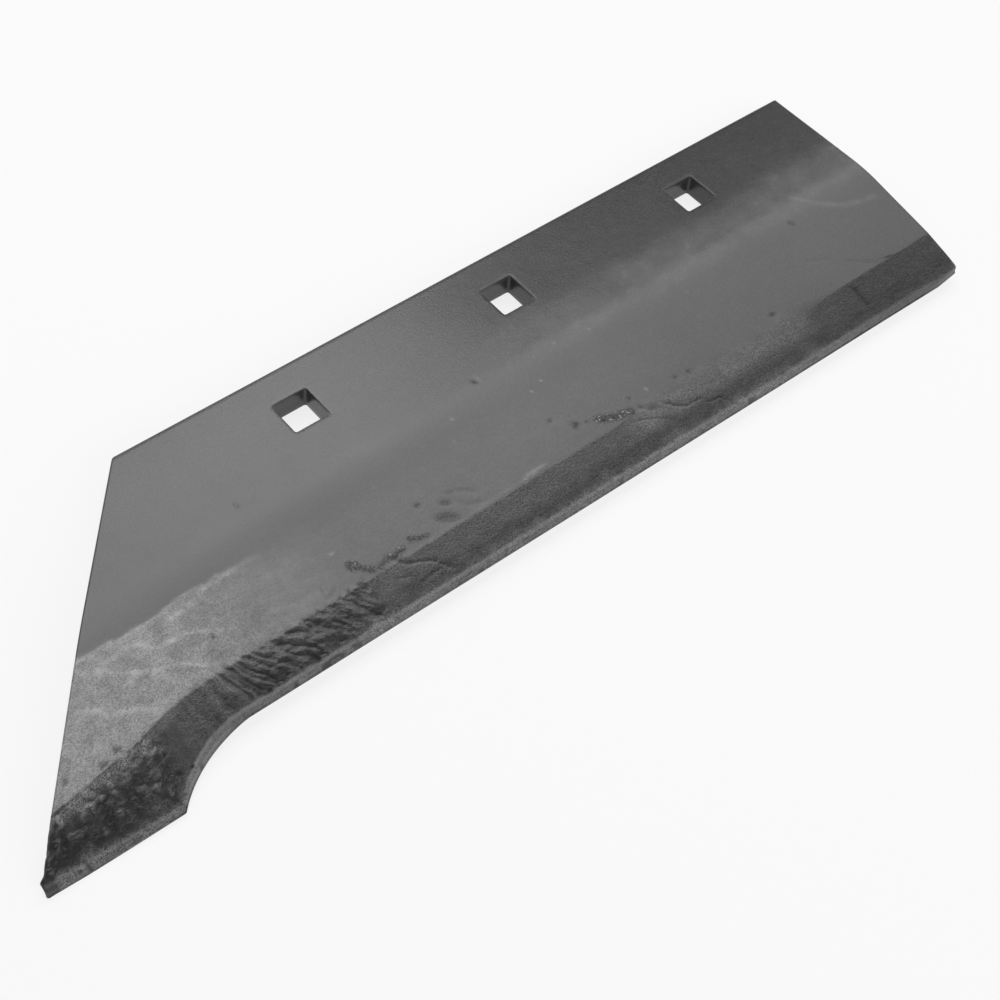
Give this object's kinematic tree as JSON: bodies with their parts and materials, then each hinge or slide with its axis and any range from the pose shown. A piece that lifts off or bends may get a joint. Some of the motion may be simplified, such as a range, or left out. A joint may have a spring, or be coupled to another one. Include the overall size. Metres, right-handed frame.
{
  "type": "plough share",
  "caption": "Forged steel plough share: a folded plate with square bolt holes, a bevelled cutting edge and a drawn-down beak at the slanted landside end.",
  "frame": {"origin": "centre of the middle square bolt hole, on the seat face below the bolt zone", "axes": "+X along the row of bolt holes towards the square outer end, +Y towards the straight bolt edge, +Z out of the bevelled top face, square to the bolt zone"},
  "size_m": [0.4439, 0.1247, 0.023],
  "materials": {
    "black_steel": "satin black paint over forged steel"
  },
  "bodies": {
    "root": {"plough_share": "black_steel"}
  },
  "joints": []
}
